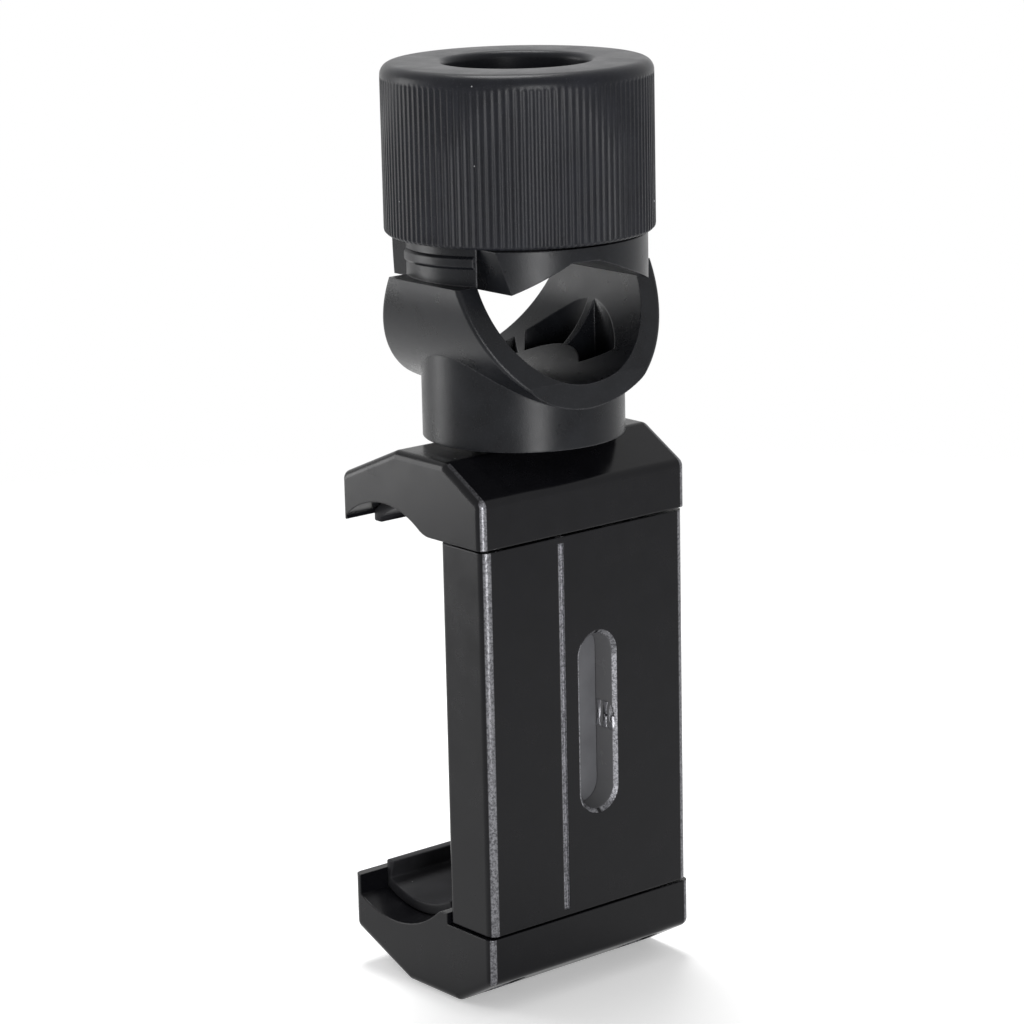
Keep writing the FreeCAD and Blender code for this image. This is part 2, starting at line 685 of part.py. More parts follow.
def make_rods():
    """Each side's guide rod, its end stop, and the spring between the stop and the guide plate."""
    low = BODY_TOP + " - " + ROD_REACH
    for side, sign in SIDES:
        spot = {"x": sign + ROD_X, "y": ROD_Y}
        node("guide_rod_" + side,
             upright("Rod_" + side, "rod_radius", low, BODY_TOP + " + seam + rod_grip", **spot))
        stop = upright("Stop_" + side, "stop_radius", low, low + " + stop_height", **spot)
        bore = upright("StopBore_" + side, "rod_radius + rod_play", low + " - 1", low + " + stop_height + 1",
                       **spot)
        node("rod_stop_" + side, cut("RodStop_" + side, stop, bore))
        make_spring(side, sign + ROD_X)


def make_spring(side, x):
    """An open coil spring, wound on a helix whose ends sit a wire's thickness from its seats."""
    seat = "(" + BODY_TOP + " - " + ROD_REACH + " + stop_height + spring_end_gap + spring_wire_radius)"
    room = ROD_REACH + " - stop_height - guide_thickness"
    length = "(" + room + " - 3 * spring_end_gap - 2 * spring_wire_radius)"
    helix = doc.addObject("Part::Helix", "Coil_" + side)
    bind(helix, Radius="spring_radius", Height=length, Pitch=length + " / spring_turns")
    wire = doc.addObject("Part::Circle", "Wire_" + side)
    bind(wire, Radius="spring_wire_radius")
    place(wire, "spring_radius", axis=(1, 0, 0), angle=QUARTER_TURN)
    coil = doc.addObject("Part::Sweep", "Spring_" + side)
    coil.Sections = [wire]
    coil.Spine = (helix, ["Edge1"])
    coil.Solid = True
    coil.Frenet = True
    node("spring_" + side, place(coil, x, ROD_Y, seat))


def make_bottom_jaw():
    """Lower jaw: like the upper one turned over, with a lip, held by two screws from below."""
    lip = "(-body_back + low_lip_gap)"
    blank = jaw_blank("BottomJawBlank", "low", ((lip, "seam"), (lip, "-low_lip_height")))
    place(blank, z=BODY_FOOT, axis=(0, 1, 0), angle=HALF_TURN)
    holes = []
    screws = []
    under = "(" + BODY_FOOT + " - jaw_height)"
    head_foot = "(" + BODY_FOOT + " - jaw_height + jaw_screw_sink)"
    head_top = "(" + BODY_FOOT + " - jaw_height + jaw_screw_sink + jaw_screw_head_height)"
    for side, sign in SIDES:
        spot = {"x": sign + ROD_X, "y": ROD_Y}
        holes.append(upright("JawHole" + side, "jaw_screw_radius + jaw_screw_play",
                             under, BODY_FOOT + " + 1", **spot))
        holes.append(upright("JawSink" + side, "jaw_screw_head_radius + jaw_screw_play",
                             under + " - 1", head_top, **spot))
        head = upright("JawScrewHead" + side, "jaw_screw_head_radius", head_foot, head_top, **spot)
        shank = upright("JawScrewShank" + side, "jaw_screw_radius", head_top + " - 0.5 * jaw_screw_head_height",
                        BODY_FOOT + " + jaw_screw_bite", **spot)
        drive = doc.addObject("Part::Prism", "JawScrewDrive" + side)
        drive.Polygon = 6
        bind(drive, Circumradius="jaw_screw_radius", Height="jaw_screw_head_height")
        place(drive, spot["x"], spot["y"], head_foot + " - 0.5 * jaw_screw_head_height")
        screws.append(cut("JawScrew" + side, fuse("JawScrewBlank" + side, head, shank), drive))
    node("bottom_jaw", cut("BottomJaw", blank, *holes))
    node("jaw_screws", fuse("JawScrews", *screws))


def arch_pad(name, which, end, sign):
    """A curved rubber strip that lines a jaw's arch; sign is + for the upper jaw."""
    away = "-" if sign == "+" else "+"
    middle = which + "_arch_middle"
    radius = which + "_arch_radius"
    centre = end + " " + sign + " (" + which + "_arch_depth - " + radius + ")"
    half = "(jaw_half_width - pad_inset)"
    shell = cut(name + "Shell", cross(name + "Outer", radius + " - pad_play", half, middle, centre),
                cross(name + "Inner", radius + " - pad_thickness", "2 * " + half, middle, centre))
    near = end + " " + away + " hook_tip_height"
    far = end + " " + sign + " 2 * " + which + "_arch_depth"
    level = (near, far) if sign == "+" else (far, near)
    reach = box(name + "Reach", ("-" + half, half),
                ("pad_front", "hook_tip - " + which + "_hook_wall - pad_play"), level)
    return common(name, shell, reach)


def make_pads():
    """Rubber: one strip in each arch and a flat one on the body's device side."""
    node("top_pad", arch_pad("TopPad", "top", BODY_TOP, "+"))
    node("bottom_pad", arch_pad("BottomPad", "low", BODY_FOOT, "-"))
    strip = box("BackPadStock", ("-back_pad_half_width", "back_pad_half_width"),
                ("-body_back", "-body_back + back_pad_thickness"),
                (BODY_FOOT + " + back_pad_margin", BODY_TOP + " - back_pad_margin"))
    node("back_pad", strip)


def check_and_write():
    """Stop on anything that failed to build, then write one file for each sub-part."""
    doc.recompute()
    broken = [o.Label for o in doc.Objects if "Invalid" in o.State or "Error" in o.State]
    if broken:
        raise RuntimeError("failed objects: " + ", ".join(broken))
    for label, item in nodes.items():
        if item.Shape.isNull() or not item.Shape.isValid():
            raise RuntimeError("bad shape: " + label)
    os.makedirs("parts", exist_ok=True)
    for label, item in nodes.items():
        item.Shape.exportStep("parts/" + label + ".step")
        print("%-18s solids %d  volume %.1f" % (label, len(item.Shape.Solids), item.Shape.Volume))


make_yoke()
make_knob()
make_press_block()
make_swivel()
make_top_jaw()
make_plate()
make_clamp_body()
make_guide_plate()
make_rods()
make_bottom_jaw()
make_pads()
check_and_write()
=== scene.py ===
"""Clamp mount: dresses the fixed frame of the mount's pieces and sets a plain studio around it."""

import json
import math

import bmesh
import bpy
from mathutils import Matrix, Vector


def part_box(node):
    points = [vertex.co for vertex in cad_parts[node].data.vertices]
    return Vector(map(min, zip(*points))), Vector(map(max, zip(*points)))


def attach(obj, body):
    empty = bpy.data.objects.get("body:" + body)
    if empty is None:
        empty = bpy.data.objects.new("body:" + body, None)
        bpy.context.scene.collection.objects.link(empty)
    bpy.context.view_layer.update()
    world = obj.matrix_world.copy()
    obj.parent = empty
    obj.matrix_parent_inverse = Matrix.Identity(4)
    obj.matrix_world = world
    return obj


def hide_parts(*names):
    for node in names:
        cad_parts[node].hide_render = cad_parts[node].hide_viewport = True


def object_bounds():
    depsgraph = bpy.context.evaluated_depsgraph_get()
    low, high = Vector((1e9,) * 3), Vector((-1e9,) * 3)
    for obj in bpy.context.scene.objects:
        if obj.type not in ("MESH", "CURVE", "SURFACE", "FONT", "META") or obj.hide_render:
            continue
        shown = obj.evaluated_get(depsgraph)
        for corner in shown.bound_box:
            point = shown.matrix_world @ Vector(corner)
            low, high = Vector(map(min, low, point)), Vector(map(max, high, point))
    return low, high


bl_info = {
    "name": "Clamp Mount",
    "version": (1, 0, 0),
    "blender": (4, 5, 0),
    "location": "View3D > Sidebar > Clamp Mount",
    "description": "Finishes, ribbed knob, rubber pads and studio for a tube clamp mount",
    "category": "Object",
}

MM = 0.001
FULL_TURN = 2 * math.pi
WELD = 0.005 * MM
WHITE = (1.0, 1.0, 1.0, 1.0)

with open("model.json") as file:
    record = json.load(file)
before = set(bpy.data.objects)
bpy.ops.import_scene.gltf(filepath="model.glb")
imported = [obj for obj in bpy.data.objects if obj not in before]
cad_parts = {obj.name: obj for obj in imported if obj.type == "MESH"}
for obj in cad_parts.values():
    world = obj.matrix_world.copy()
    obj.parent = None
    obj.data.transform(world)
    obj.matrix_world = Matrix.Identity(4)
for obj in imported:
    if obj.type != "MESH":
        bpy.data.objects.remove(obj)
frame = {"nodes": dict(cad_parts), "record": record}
CAD_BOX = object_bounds()
KNOB_LOW, KNOB_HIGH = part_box("knob")
BODY_LOW, BODY_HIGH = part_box("clamp_body")
BACK_PAD_LOW, BACK_PAD_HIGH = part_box("back_pad")
ARM_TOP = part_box("yoke")[1][2]
TOP_HOOK_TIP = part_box("top_jaw")[0][2]
LOW_HOOK_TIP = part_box("bottom_jaw")[1][2]


# Sizes and colours that a user would change

def length(label, about, millimetres):
    return bpy.props.FloatProperty(name=label, description=about, default=millimetres * MM, unit="LENGTH")


def turn(label, about, degrees):
    radians = math.radians(degrees)
    return bpy.props.FloatProperty(name=label, description=about, default=radians, subtype="ANGLE")


def number(label, about, value):
    return bpy.props.FloatProperty(name=label, description=about, default=value)


def colour(label, about, *linear):
    return bpy.props.FloatVectorProperty(
        name=label, description=about, size=3, subtype="COLOR", default=linear)


class ClampMountKnob(bpy.types.PropertyGroup):
    ribs: bpy.props.IntProperty(name="Ribs", description="Ribs round the knob", default=118, min=12)
    rib_depth: length("Rib depth", "Depth of the valleys between ribs", 0.16)
    rib_top: length("Rib top", "Height at which the ribs fade out", 24.6)
    shoulder: length("Shoulder", "Rounding between side and top", 1.5)
    hole: length("Hole", "Radius of the hole in the top", 9.13)
    hole_round: length("Hole rounding", "Rounding of the hole's rim", 0.9)
    wall: length("Top wall", "Thickness of the knob's top", 2.9)
    bore: length("Bore", "Radius of the threaded bore", 15.25)
    bore_lead: length("Bore lead-in", "Chamfer at the bore's foot", 0.4)
    relief: length("Relief", "Depth of the groove above the bore's thread", 0.45)
    relief_foot: length("Relief foot", "Where the groove starts to open, above the knob's foot", 11.4)
    relief_full: length("Relief full", "Where the groove has its full depth, above the foot", 12)
    foot_in: length("Foot edge in", "How far the foot's outer edge turns in", 0.35)
    foot_bow: length("Foot edge bow", "How far that edge has turned in half way up", 0.05)
    foot_up: length("Foot edge height", "Height of that edge", 0.6)
    rib_fade: length("Rib fade", "Height over which the ribs fade out", 0.25)


class ClampMountThread(bpy.types.PropertyGroup):
    root: length("Root", "Radius of the arms between turns", 14.42)
    crest: length("Crest", "Outer radius of the turns", 14.82)
    pitch: length("Pitch", "Height from turn to turn", 3.0)
    start: length("Start", "Height of the lowest turn", 1.45)
    arm_half: length("Arm half width", "Half the arms' width along the tube", 6.8)
    foot_share: number("Foot share", "Width of a turn's foot, in pitches", 0.62)
    top_share: number("Top share", "Width of a turn's top, in pitches", 0.3)
    tap_pitch: length("Slot pitch", "Pitch of the thread across the slot", 1.27)
    tap_root: length("Slot root", "Outer radius of the thread across the slot", 3.2)
    tap_crest: length("Slot crest", "Inner radius of the thread across the slot", 2.62)
    tap_proud: length("Slot proud", "How far the turns stand out of the slot's walls", 0.05)
    tap_first: number("Slot first turn", "First turn behind the face, in pitches", 0.45)
    tap_foot_share: number("Slot foot share", "Width of a slot turn's foot, in pitches", 0.7)
    tap_top_share: number("Slot top share", "Width of a slot turn's top, in pitches", 0.16)
    tap_turns: bpy.props.IntProperty(
        name="Slot turns", description="Turns of the thread across the slot", default=3, min=1)


class ClampMountPads(bpy.types.PropertyGroup):
    half_width: length("Half width", "Half the arch pads' width", 12.5)
    thickness: length("Thickness", "Rubber thickness in the arches", 1.5)
    rounding: length("Rounding", "Rounding of the rubber's edges", 0.5)
    play: length("Play", "Gap between rubber and jaw", 0.03)
    top_proud: length("Upper end proud", "How far the rubber passes the upper hook's tip", 1.0)
    low_proud: length("Lower end proud", "How far the rubber passes the lower hook's tip", 1.15)
    top_start: number("Upper arch start", "Angle in degrees at the clamp body's side", 128)
    top_end: number("Upper arch end", "Angle in degrees at which the upper hook turns straight", 50)
    low_start: number("Lower arch start", "Angle in degrees at the clamp body's side", -120)
    low_end: number("Lower arch end", "Angle in degrees at which the lower hook turns straight", -61.6)
    top_radius: length("Upper arch radius", "Radius of the upper arch", 12.3)
    top_middle: length("Upper arch middle", "The upper arch's axis, device side", 7.6)
    top_depth: length("Upper arch depth", "How far the upper arch rises past the body", 3.15)
    low_radius: length("Lower arch radius", "Radius of the lower arch", 14.3)
    low_middle: length("Lower arch middle", "The lower arch's axis, device side", 8.3)
    low_depth: length("Lower arch depth", "How far the lower arch sinks past the body", 2.85)
    back_rim: length("Back rim", "Width of the flat rim round the back pad", 1.6)
    back_slope: length("Back slope", "Width of the slope inside that rim", 0.4)
    back_sink: length("Back sink", "How far the back pad's field lies under the rim", 0.35)


class ClampMountFace(bpy.types.PropertyGroup):
    groove_x: length("Groove", "Groove's middle across the face", -4.2)
    groove_half: length("Groove half width", "Half the groove's width", 0.5)
    groove_depth: length("Groove depth", "Depth of the groove", 0.45)
    slot_x: length("Slot", "Slot's middle across the face", 1.6)
    slot_drop: length("Slot, down", "Slot's middle below the body's upper end", 25.2)
    slot_half_run: length("Slot half run", "Half the straight part of the slot", 8.9)
    slot_half_width: length("Slot half width", "Half the slot's width", 2.7)
    slot_bevel: length("Slot bevel", "Bevel round the slot", 0.5)
    # The slot's walls are painted lighter down to this depth; the bevel and the rim line below carry a
    # painted highlight
    slot_depth: length("Slot depth", "How deep the slot's walls are bare", 5)
    rim_line: length("Rim line", "Width of the bare line outside the slot's bevel", 0.12)
    lit_right: length("Lit right", "Where the bevel starts to show bare, right of the slot's middle", 1.4)
    lit_right_full: length("Lit right full", "Where it is fully bare on that side", 2.2)
    lit_left: length("Lit left", "The same on the left side", -2.6)
    lit_left_full: length("Lit left full", "Where it is fully bare on the left side", -2.9)
    lit_left_share: number("Lit left share", "How bare the left side is", 0.8)
    lit_top: length("Lit top", "Height over which the bare bevel fades in below the slot's end", 0.7)


class ClampMountColours(bpy.types.PropertyGroup):
    moulded: colour("Moulded black", "Yoke and pressing block", 0.0055, 0.006, 0.0075)
    knob: colour("Knob", "Ribbed knob", 0.0075, 0.008, 0.0105)
    clamp: colour("Clamp", "Clamp body and jaws", 0.004, 0.004, 0.005)
    # Bare metal of the slot's thread; the same colour paints the highlight on the groove, the slot's bevel
    # and the clamp's upright corners
    machined_and_highlight: colour("Machined", "Groove, slot bevel and thread", 0.30, 0.30, 0.32)
    tool_marks: colour("Tool marks", "Dark lines in the machined places", 0.03, 0.03, 0.035)
    # Painted lighter tone on the slot's walls, standing in for light in the shaded slot
    slot_wall_painted_light: colour("Slot wall", "Walls of the slot", 0.12, 0.12, 0.125)
    plate: colour("Sliding plate", "Plate seen in the slot", 0.10, 0.101, 0.108)
    black_steel: colour("Black steel", "Stud and screws", 0.035, 0.035, 0.038)
    bright_steel: colour("Bright steel", "Rods, stops and pins", 0.55, 0.55, 0.57)
    spring: colour("Springs", "Both springs", 0.42, 0.42, 0.44)
    washer: colour("Washer", "Washer under the neck", 0.02, 0.02, 0.022)
    guide: colour("Guide plate", "Guide plate", 0.014, 0.014, 0.016)
    rubber: colour("Rubber", "Pads", 0.018, 0.018, 0.020)
    # Edge colours below: partly wear, partly a painted edge highlight
    rubbed_and_sheen: colour("Rubbed edges", "Worn edges of dark pieces", 0.12, 0.12, 0.13)
    rubbed_and_sheen_bright: colour("Rubbed thread", "Worn edges of bare metal", 0.6, 0.6, 0.62)
    fleck: colour("Flecks", "Lighter grains", 0.07, 0.07, 0.075)
    dust: colour("Dust", "Pale specks", 0.30, 0.30, 0.31)
    floor: colour("Floor", "Floor and backdrop", 0.90, 0.90, 0.90)


class ClampMountView(bpy.types.PropertyGroup):
    azimuth: turn("Azimuth", "Camera's turn round the mount, 0 looks along +Y", -39.54)
    elevation: turn("Elevation", "Camera's height above the horizon", 13.94)
    roll: turn("Roll", "Camera's lean to one side", -1.25)
    distance: length("Distance", "Camera to the aim point", 444.24)
    aside: length("Aside", "How far the camera stands to the left of the aim point", 1.76)
    aim_height: length("Aim height", "Height of the aim point in the frame", -31.3)
    focal: bpy.props.FloatProperty(
        name="Focal length", description="In millimetres on a 36 mm sensor", default=122.6, min=20.0)


# Modelling helpers

def make_active(piece):
    bpy.ops.object.select_all(action="DESELECT")
    piece.select_set(True)
    bpy.context.view_layer.objects.active = piece


def start_edit(piece, mode="VERT"):
    make_active(piece)
    bpy.ops.object.mode_set(mode="EDIT")
    bpy.ops.mesh.select_mode(type=mode)


def end_edit():
    bpy.ops.object.mode_set(mode="OBJECT")


def add_primitive(name, add, **sizes):
    """Add a primitive with nothing else selected and name it."""
    bpy.ops.object.select_all(action="DESELECT")
    add(**sizes)
    piece = bpy.context.object
    piece.name = name
    return piece


def pick(piece, wanted):
    """Select the vertices that the test wants, while in edit mode."""
    mesh = bmesh.from_edit_mesh(piece.data)
    mesh.select_mode = {"VERT"}
    for vert in mesh.verts:
        vert.select = wanted(vert.co)
    mesh.select_flush_mode()
    bmesh.update_edit_mesh(piece.data)


def settle(piece, body, material, smooth_degrees=35):
    """Put the piece's place in its mesh, smooth it, dress it and give it to its body."""
    make_active(piece)
    bpy.ops.object.transform_apply(location=True, rotation=True, scale=True)
    bpy.ops.object.shade_smooth_by_angle(angle=math.radians(smooth_degrees))
    piece.data.materials.clear()
    piece.data.materials.append(material)
    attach(piece, body)


def apply_modifiers(piece):
    make_active(piece)
    for modifier in list(piece.modifiers):
        bpy.ops.object.modifier_apply(modifier=modifier.name)


def shift(piece, by):
    start_edit(piece)
    bpy.ops.mesh.select_all(action="SELECT")
    bpy.ops.transform.translate(value=by)
    end_edit()


def slice_off(piece, point, normal):
    """Cut away what lies beyond a plane and close the cut."""
    start_edit(piece)
    bpy.ops.mesh.select_all(action="SELECT")
    bpy.ops.mesh.bisect(plane_co=point, plane_no=normal, use_fill=True, clear_inner=False, clear_outer=True)
    end_edit()


def swing(degrees, centre):
    """Turn what is selected about X, up from +Y."""
    bpy.ops.transform.rotate(value=-math.radians(degrees), orient_axis="X", center_override=centre)


def arc(centre_r, centre_z, radius, start, end, steps):
    """Points of a rounding in a lathe profile, as (distance from the axis, height)."""
    points = []
    for i in range(steps + 1):
        angle = math.radians(start + (end - start) * i / steps)
        points.append((centre_r + radius * math.cos(angle), centre_z + radius * math.sin(angle)))
    return points


def turned_ring(name, profile, count):
    """A ring about Z, drawn out level by level from a circle and closed on itself."""
    last_r, last_z = profile[0]
    piece = add_primitive(name, bpy.ops.mesh.primitive_circle_add, vertices=count, radius=last_r,
                          location=(0, 0, 0))
    start_edit(piece)
    bpy.ops.mesh.select_all(action="SELECT")
    bpy.ops.transform.translate(value=(0, 0, last_z))
    for r, z in profile[1:] + profile[:1]:
        bpy.ops.mesh.extrude_region_move(TRANSFORM_OT_translate={"value": (0, 0, z - last_z)})
        bpy.ops.transform.resize(value=(r / last_r, r / last_r, 1), center_override=(0, 0, 0))
        last_r, last_z = r, z
    bpy.ops.mesh.select_all(action="SELECT")
    bpy.ops.mesh.remove_doubles(threshold=WELD)
    bpy.ops.mesh.normals_make_consistent(inside=False)
    end_edit()
    return piece


# Knob

class ClampMountMakeKnob(bpy.types.Operator):
    """Ribbed ring knob with a round hole in its top"""

    bl_idname = "clamp_mount.knob"
    bl_label = "Knob"

    columns_per_rib = 4
    valley_columns = (1, 2)

    def execute(self, context):
        sizes = context.scene.clamp_knob
        count = sizes.ribs * self.columns_per_rib
        knob = turned_ring("knob_ribbed", self.profile(sizes), count)
        self.press_valleys(knob, sizes, count)
        settle(knob, "knob", materials()["knob_black"], 28)
        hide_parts("knob")
        return {"FINISHED"}

    def profile(self, sizes):
        """The ring's section: up the outside, over the shoulder, down the hole and the bore."""
        outer = KNOB_HIGH[0]
        foot = KNOB_LOW[2]
        top = KNOB_HIGH[2]
        ceiling = top - sizes.wall
        rim = sizes.hole_round
        bend = sizes.shoulder
        relief = sizes.bore + sizes.relief
        points = [(sizes.bore, foot + sizes.bore_lead), (sizes.bore + sizes.bore_lead, foot)]
        points += [(outer - sizes.foot_in, foot), (outer - sizes.foot_bow, foot + sizes.foot_up / 2)]
        points += [(outer, foot + sizes.foot_up), (outer, 0.5 * (foot + top))]
        points += [(outer, sizes.rib_top - sizes.rib_fade), (outer, sizes.rib_top)]
        points += arc(outer - bend, top - bend, bend, 8, 90, 7)
        points += arc(sizes.hole + rim, top - rim, rim, 90, 180, 6)
        points += [(sizes.hole, ceiling), (relief, ceiling), (relief, foot + sizes.relief_full)]
        points += [(sizes.bore, foot + sizes.relief_foot)]
        return points

    def press_valleys(self, knob, sizes, count):
        """Push the two middle columns of every rib pitch inwards between the rib's ends."""
        outer = KNOB_HIGH[0]
        lowest = KNOB_LOW[2] - 0.01 * MM
        highest = sizes.rib_top - 0.1 * MM
        skin = outer - 0.4 * MM

        def valley(co):
            if not lowest < co.z < highest or math.hypot(co.x, co.y) < skin:
                return False
            column = round(math.atan2(co.y, co.x) / FULL_TURN * count)
            return column % self.columns_per_rib in self.valley_columns

        start_edit(knob)
        pick(knob, valley)
        ratio = 1 - sizes.rib_depth / outer
        bpy.ops.transform.resize(value=(ratio, ratio, 1), center_override=(0, 0, 0))
        end_edit()


# Threads

class ClampMountMakeThreads(bpy.types.Operator):
    """Turns of thread on the yoke's arms and in the clamp's slot"""

    bl_idname = "clamp_mount.threads"
    bl_label = "Threads"

    smooth_degrees = 30

    def execute(self, context):
        sizes = context.scene.clamp_thread
        self.arm_thread(sizes)
        self.slot_thread(sizes, context.scene.clamp_face)
        return {"FINISHED"}

    def arm_thread(self, sizes):
        """The knob's thread, kept only on the two arms."""
        turns = int((ARM_TOP - sizes.start) / sizes.pitch) - 1
        ridge = ridge_wire("arm_thread", sizes.root, sizes.crest, sizes.foot_share * sizes.pitch,
                           sizes.top_share * sizes.pitch)
        wind(ridge, turns, sizes.pitch, 120)
        shift(ridge, (0, 0, sizes.start))
        for side in (1, -1):
            slice_off(ridge, (0, side * sizes.arm_half, 0), (0, side, 0))
        settle(ridge, "mount_body", materials()["moulded_black"], self.smooth_degrees)

    def slot_thread(self, sizes, face):
        """The camera thread that crosses the slot, kept only in the slot's two sides."""
        ridge = ridge_wire("slot_thread", sizes.tap_root, sizes.tap_crest,
                           sizes.tap_foot_share * sizes.tap_pitch, sizes.tap_top_share * sizes.tap_pitch)
        wind(ridge, sizes.tap_turns, sizes.tap_pitch, 48)
        start_edit(ridge)
        bpy.ops.mesh.select_all(action="SELECT")
        bpy.ops.transform.rotate(value=math.pi / 2, orient_axis="X", center_override=(0, 0, 0))
        bpy.ops.transform.translate(value=(0, BODY_LOW[1] + sizes.tap_first * sizes.tap_pitch, 0))
        end_edit()
        bpy.ops.object.duplicate()
        other = bpy.context.object
        other.name = "slot_thread_left"
        ridge.name = "slot_thread_right"
        for side, part in ((1, ridge), (-1, other)):
            slice_off(part, (side * (face.slot_half_width - sizes.tap_proud), 0, 0), (-side, 0, 0))
            shift(part, (face.slot_x, 0, BODY_HIGH[2] - face.slot_drop))
            settle(part, "clamp", materials()["clamp_bright"], self.smooth_degrees)


def ridge_wire(name, root, crest, foot_width, top_width):
    """The closed outline of one thread ridge, standing in the XZ plane beside the axis."""
    middle = (root + crest) / 2
    wire = add_primitive(name, bpy.ops.mesh.primitive_plane_add, size=1, location=(middle, 0, 0),
                         rotation=(math.pi / 2, 0, 0))
    wire.scale = (abs(crest - root), foot_width, 1)
    bpy.ops.object.transform_apply(location=True, rotation=True, scale=True)
    start_edit(wire)
    pick(wire, lambda co: (co.x > middle) == (crest > root))
    bpy.ops.transform.resize(value=(1, 1, top_width / foot_width), center_override=(0, 0, 0))
    bpy.ops.mesh.select_all(action="SELECT")
    bpy.ops.mesh.delete(type="ONLY_FACE")
    end_edit()
    return wire


def wind(wire, turns, pitch, steps):
    """Wind the outline up the Z axis, with this many steps a turn, and close both ends."""
    screw = wire.modifiers.new("Wind", "SCREW")
    screw.axis = "Z"
    screw.angle = FULL_TURN
    screw.iterations = turns
    screw.screw_offset = pitch
    screw.steps = steps
    screw.render_steps = steps
    screw.use_merge_vertices = False
    apply_modifiers(wire)
    start_edit(wire)
    bpy.ops.mesh.select_all(action="DESELECT")
    bpy.ops.mesh.select_non_manifold(extend=False, use_wire=False, use_boundary=True, use_multi_face=False,
                                     use_non_contiguous=False, use_verts=False)
    bpy.ops.mesh.edge_face_add()
    bpy.ops.mesh.select_all(action="SELECT")
    bpy.ops.mesh.normals_make_consistent(inside=False)
    end_edit()


# Pads

class ClampMountMakePads(bpy.types.Operator):
    """Rubber in the two arches and on the clamp body's device side"""

    bl_idname = "clamp_mount.pads"
    bl_label = "Pads"

    def execute(self, context):
        sizes = context.scene.clamp_pads
        top_axis = (sizes.top_middle, BODY_HIGH[2] + sizes.top_depth - sizes.top_radius)
        low_axis = (sizes.low_middle, BODY_LOW[2] - sizes.low_depth + sizes.low_radius)
        top_span = (sizes.top_start, sizes.top_end)
        low_span = (sizes.low_start, sizes.low_end)
        top_tip = TOP_HOOK_TIP - sizes.top_proud
        low_tip = LOW_HOOK_TIP + sizes.low_proud
        for name, radius, axis, span, tip, body, node in (
                ("pad_upper", sizes.top_radius, top_axis, top_span, top_tip, "carriage", "top_pad"),
                ("pad_lower", sizes.low_radius, low_axis, low_span, low_tip, "clamp", "bottom_pad")):
            strip = self.arch(name, sizes, radius, axis, span, tip)
            self.soften(strip, sizes)
            settle(strip, body, materials()["pad_rubber"])
            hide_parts(node)
        self.back(sizes)
        return {"FINISHED"}

    def arch(self, name, sizes, radius, axis, span, tip):
        """A strip swept round the arch's axis and carried on straight past the hook to the tip."""
        outer = radius - sizes.play
        inner = radius - sizes.thickness
        start, end = span
        strip = add_primitive(name, bpy.ops.mesh.primitive_plane_add, size=1, location=(0, 0, 0))
        start_edit(strip)
        bpy.ops.mesh.select_all(action="SELECT")
        bpy.ops.transform.resize(value=(2 * sizes.half_width, outer - inner, 1), center_override=(0, 0, 0))
        bpy.ops.transform.translate(value=(0, (outer + inner) / 2, 0))
        swing(start, (0, 0, 0))
        bpy.ops.mesh.spin(steps=28, angle=math.radians(start - end), center=(0, 0, 0), axis=(1, 0, 0))
        edge_y = outer * math.cos(math.radians(end))
        edge_z = outer * math.sin(math.radians(end))
        run = tip - axis[1] - edge_z
        bpy.ops.mesh.extrude_region_move(TRANSFORM_OT_translate={"value": (0, 0, run)})
        swing(-end, (0, edge_y, edge_z + run))
        bpy.ops.mesh.select_all(action="SELECT")
        bpy.ops.mesh.remove_doubles(threshold=WELD)
        bpy.ops.mesh.normals_make_consistent(inside=False)
        bpy.ops.transform.translate(value=(0, axis[0], axis[1]))
        end_edit()
        return strip

    def back(self, sizes):
        """The flat rubber on the device side, a little lower inside a narrow rim."""
        size = [BACK_PAD_HIGH[i] - BACK_PAD_LOW[i] for i in range(3)]
        middle = [(BACK_PAD_HIGH[i] + BACK_PAD_LOW[i]) / 2 for i in range(3)]
        strip = add_primitive("pad_back", bpy.ops.mesh.primitive_cube_add, size=1, location=middle)
        strip.scale = size
        bpy.ops.object.transform_apply(location=True, rotation=True, scale=True)
        start_edit(strip, "FACE")
        mesh = bmesh.from_edit_mesh(strip.data)
        for face in mesh.faces:
            face.select = face.normal.y > 0.9
        bmesh.update_edit_mesh(strip.data)
        bpy.ops.mesh.inset(thickness=sizes.back_rim, depth=0)
        bpy.ops.mesh.inset(thickness=sizes.back_slope, depth=-sizes.back_sink)
        end_edit()
        self.soften(strip, sizes)
        settle(strip, "clamp", materials()["pad_rubber"])
        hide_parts("back_pad")

    def soften(self, strip, sizes):
        """Round the rubber's edges."""
        bevel = strip.modifiers.new("Rounding", "BEVEL")
        bevel.width = sizes.rounding
        bevel.segments = 3
        bevel.limit_method = "ANGLE"
        bevel.angle_limit = math.radians(50)
        apply_modifiers(strip)


# Shader nodes

def feed(tree, target, value):
    """Link a socket to the target, or set a number or a colour on it."""
    if isinstance(value, bpy.types.NodeSocket):
        tree.links.new(value, target)
    elif isinstance(value, (int, float)):
        target.default_value = value
    else:
        target.default_value = (*value, 1.0)


def math_node(tree, operation, first, *others):
    """A Math operation over sockets or numbers, taken in turn."""
    result = first
    for other in others:
        node = tree.nodes.new("ShaderNodeMath")
        node.operation = operation
        feed(tree, node.inputs[0], result)
        feed(tree, node.inputs[1], other)
        result = node.outputs[0]
    return result


def length_node(tree, vector):
    node = tree.nodes.new("ShaderNodeVectorMath")
    node.operation = "LENGTH"
    feed(tree, node.inputs[0], vector)
    return node.outputs["Value"]


def unsigned(tree, value):
    """The value without its sign."""
    node = tree.nodes.new("ShaderNodeMath")
    node.operation = "ABSOLUTE"
    feed(tree, node.inputs[0], value)
    return node.outputs[0]


def span_node(tree, value, low, high, to_low=0.0, to_high=1.0):
    """A clamped Map Range."""
    node = tree.nodes.new("ShaderNodeMapRange")
    feed(tree, node.inputs["Value"], value)
    for label, bound in (("From Min", low), ("From Max", high), ("To Min", to_low), ("To Max", to_high)):
        node.inputs[label].default_value = bound
    return node.outputs["Result"]


